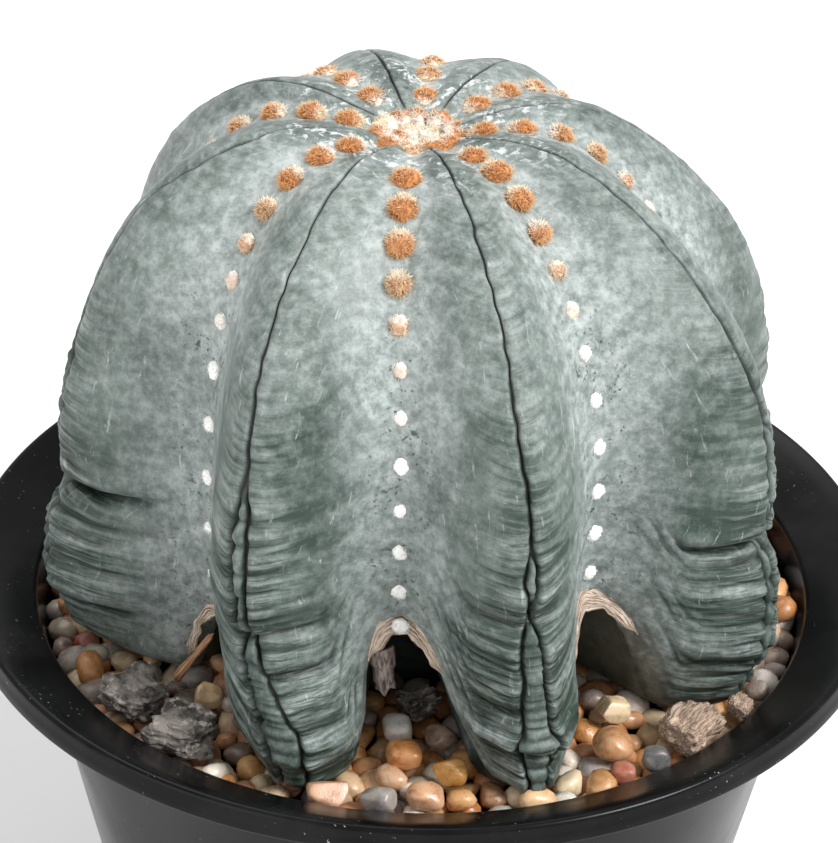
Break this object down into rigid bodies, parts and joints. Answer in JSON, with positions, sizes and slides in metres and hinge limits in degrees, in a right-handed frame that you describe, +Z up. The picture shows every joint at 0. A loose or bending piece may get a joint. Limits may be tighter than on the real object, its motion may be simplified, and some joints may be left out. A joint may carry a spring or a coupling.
{
  "type": "potted round cactus",
  "caption": "Spineless ribbed round cactus with woolly tufts along its valleys, standing in a round black nursery pot with a gravel top dressing.",
  "frame": {"origin": "centre of the circle that the pot's foot ring stands on", "axes": "+Z up through the middle of the pot; -Y is the front, where the widest arch between two ribs shows; +X is to the right seen from the front"},
  "size_m": [0.1592, 0.1592, 0.199],
  "materials": {
    "pot_plastic": "moulded black plastic, glossy, with a little dust on the collar",
    "potting_mix": "dark crumbly soil",
    "gravel": "rounded pea gravel in orange, cream, grey and brown",
    "pebbles": "smooth worn stone, slightly glossy",
    "stem_skin": "grey-green waxy skin with a pale bloom, finely wrinkled",
    "crown_wool": "cream wool",
    "areole_wool": "rust to tan wool with cream tips",
    "bark": "weathered grey-brown bark",
    "wood": "dry fibrous wood"
  },
  "bodies": {
    "root": {"areole_back_1": "areole_wool", "areole_back_2": "areole_wool", "areole_back_3": "areole_wool", "areole_back_4": "areole_wool", "areole_back_left_1": "areole_wool", "areole_back_left_2": "areole_wool", "areole_back_left_3": "areole_wool", "areole_back_left_4": "areole_wool", "areole_back_right_1": "areole_wool", "areole_back_right_2": "areole_wool", "areole_back_right_3": "areole_wool", "areole_back_right_4": "areole_wool", "areole_front_1": "areole_wool", "areole_front_2": "areole_wool", "areole_front_3": "areole_wool", "areole_front_4": "areole_wool", "areole_front_left_1": "areole_wool", "areole_front_left_2": "areole_wool", "areole_front_left_3": "areole_wool", "areole_front_left_4": "areole_wool", "areole_front_right_1": "areole_wool", "areole_front_right_2": "areole_wool", "areole_front_right_3": "areole_wool", "areole_front_right_4": "areole_wool", "areole_left_1": "areole_wool", "areole_left_2": "areole_wool", "areole_left_3": "areole_wool", "areole_left_4": "areole_wool", "areole_right_1": "areole_wool", "areole_right_2": "areole_wool", "areole_right_3": "areole_wool", "areole_right_4": "areole_wool", "bark_chunk_front": "bark", "bark_chunk_left": "bark", "bark_crumb": "bark", "cactus_stem": "stem_skin", "crown_wool": "crown_wool", "gravel_bed": "gravel", "pebble_amber": "pebbles", "pebble_brick": "pebbles", "pebble_charcoal": "pebbles", "pebble_cream": "pebbles", "pebble_orange": "pebbles", "pebble_peach": "pebbles", "pebble_salmon": "pebbles", "pebble_sand": "pebbles", "pebble_slate": "pebbles", "pebble_terracotta": "pebbles", "pebble_umber": "pebbles", "pebble_white": "pebbles", "pot": "pot_plastic", "potting_mix": "potting_mix", "twig": "wood", "wood_chip": "wood", "wood_chip_small": "wood"}
  },
  "joints": []
}
